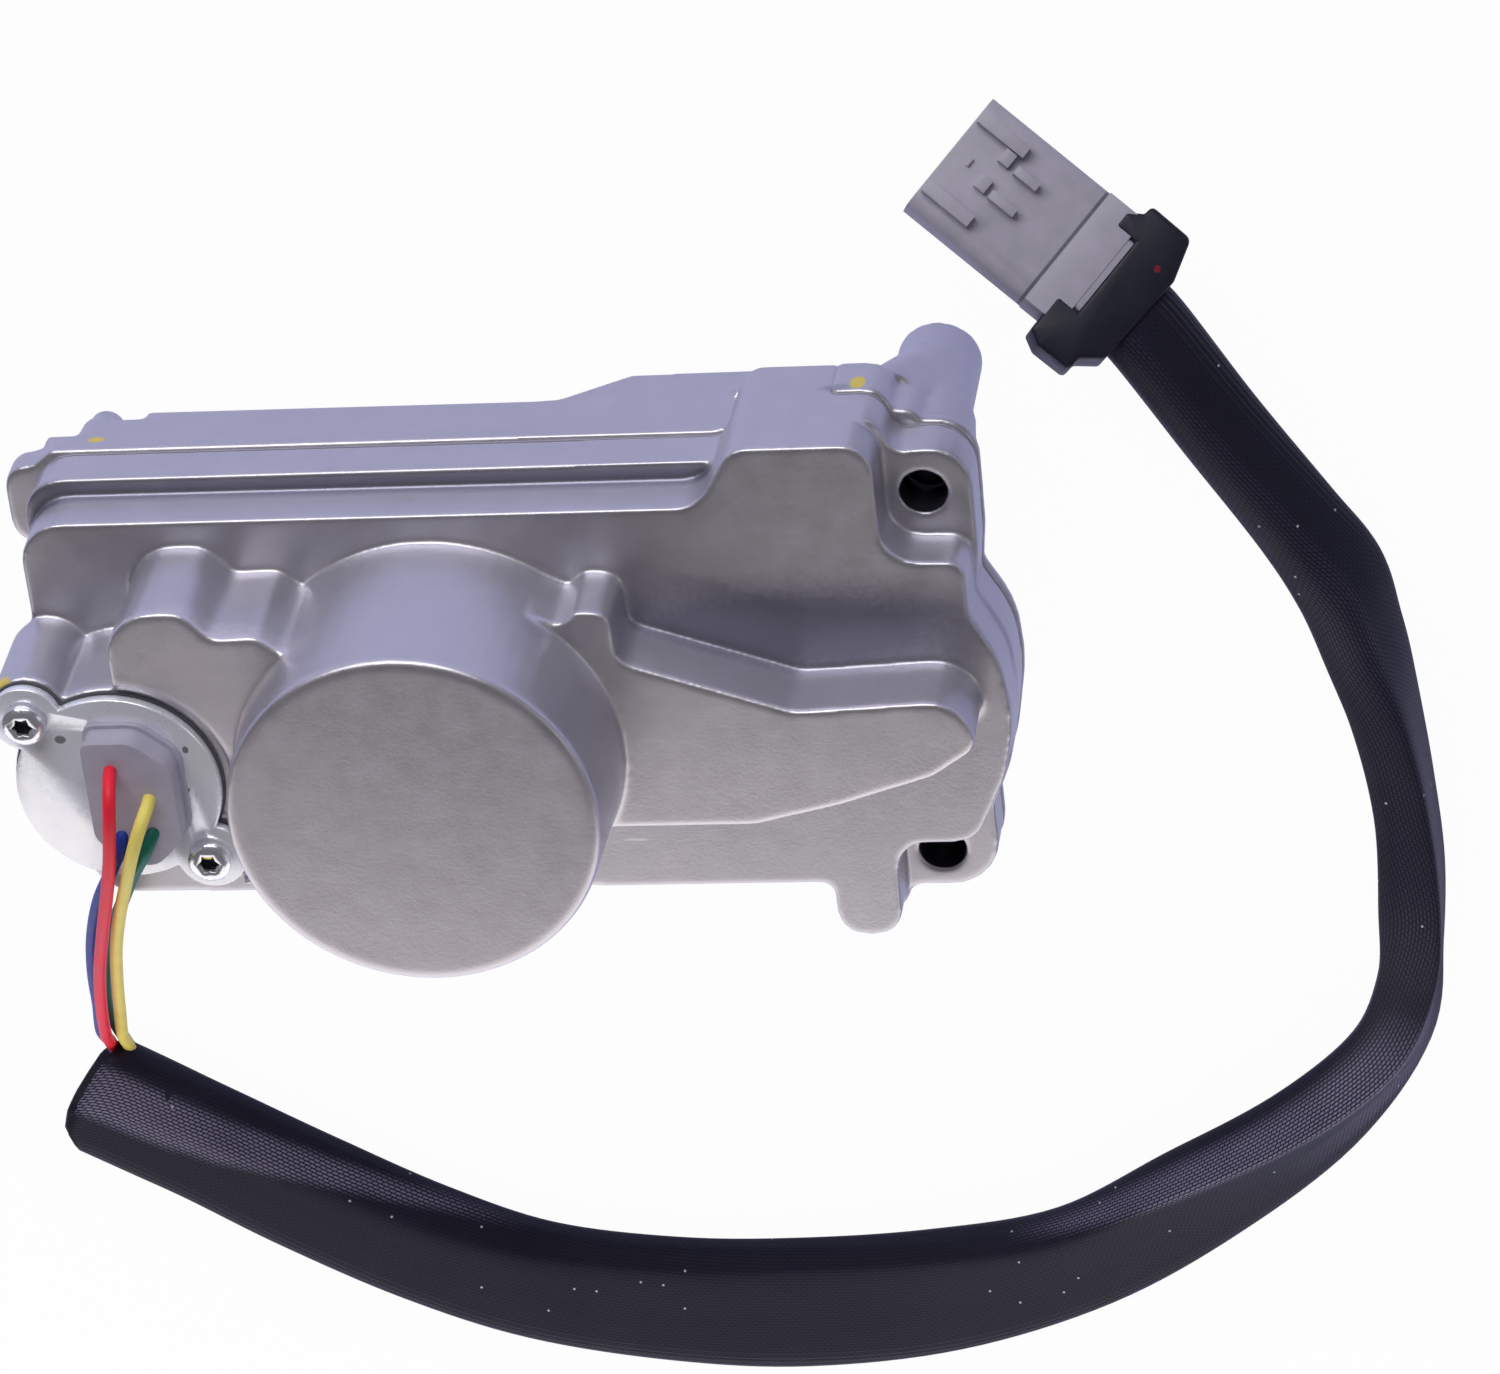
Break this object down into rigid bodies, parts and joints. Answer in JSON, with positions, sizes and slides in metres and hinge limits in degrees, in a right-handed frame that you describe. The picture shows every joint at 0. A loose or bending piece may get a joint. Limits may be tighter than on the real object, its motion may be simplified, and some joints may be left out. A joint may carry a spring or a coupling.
{
  "type": "turbo actuator",
  "caption": "Electronic turbo actuator: die-cast gearbox housing with motor dome, bolt-on mounting legs, output pinion, and a braided flying lead with plug.",
  "frame": {"origin": "axis of the through bolt hole at the output end's corner, on the plane of the leg tips", "axes": "+Z along the motor axis toward the motor dome, +X along the housing from the connector end to the output end, +Y toward the side with the wide ear"},
  "size_m": [0.2925, 0.3033, 0.1016],
  "materials": {
    "front_alloy": "die-cast satin",
    "rear_alloy": "die-cast satin",
    "black_rubber": "matt",
    "grey_rubber": "satin",
    "steel": "ground",
    "laminations": "matt",
    "copper": "enamelled copper",
    "magnet": "satin",
    "board": "solder mask",
    "components": "matt",
    "plated_steel": "bright zinc",
    "plated_screws": "bright zinc",
    "red_insulation": "satin",
    "yellow_insulation": "satin",
    "blue_insulation": "satin",
    "green_insulation": "satin",
    "braid": "woven monofilament",
    "grey_plastic": "satin",
    "black_plastic": "satin",
    "terminal_brass": "plated",
    "seal_rubber": "matt"
  },
  "bodies": {
    "housing": {"front_casting": "front_alloy", "rear_casting": "rear_alloy", "housing_gasket": "black_rubber", "seam_screws": "steel", "motor_core": "laminations", "motor_windings": "copper", "motor_bearing_front": "steel", "motor_bearing_rear": "steel", "motor_plate": "front_alloy", "motor_plate_screws": "steel", "idler_axle": "steel", "output_bearing_upper": "steel", "output_bearing_lower": "steel", "shaft_seal": "black_rubber", "pilot_o_ring": "black_rubber", "position_sensor": "board", "circuit_board": "board", "board_capacitors": "components", "board_chips": "components", "board_screws": "steel", "flange_plate": "plated_steel", "flange_gasket": "black_rubber", "flange_screws": "plated_screws", "grommet": "grey_rubber", "wire_red": "red_insulation", "wire_yellow": "yellow_insulation", "wire_blue": "blue_insulation", "wire_green": "green_insulation", "braided_sleeve": "braid", "plug_shell": "grey_plastic", "plug_retainer": "black_plastic", "plug_terminals": "terminal_brass", "plug_seal": "seal_rubber"},
    "output": {"output_shaft": "steel", "output_gear": "steel", "position_magnet": "magnet"},
    "idler": {"idler_gear": "steel"},
    "rotor": {"rotor_shaft": "steel", "rotor_magnet": "magnet"}
  },
  "joints": [
    {"name": "output_swing", "type": "hinge", "parent": "housing", "child": "output", "pos_m": [-0.0375, -0.0413, 0], "axis": [0, 0, 1], "range_deg": [0, 100]},
    {"name": "idler_spin", "type": "hinge", "parent": "housing", "child": "idler", "pos_m": [-0.06988, -0.02801, 0], "axis": [0, 0, 1], "range_deg": [-400, 0]},
    {"name": "rotor_spin", "type": "hinge", "parent": "housing", "child": "rotor", "pos_m": [-0.0955, -0.0393, 0], "axis": [0, 0, 1], "range_deg": [0, 1600]}
  ],
  "couplings": [
    {"joint": "idler_spin", "follows": "output_swing", "ratio": -4},
    {"joint": "rotor_spin", "follows": "output_swing", "ratio": 16}
  ]
}
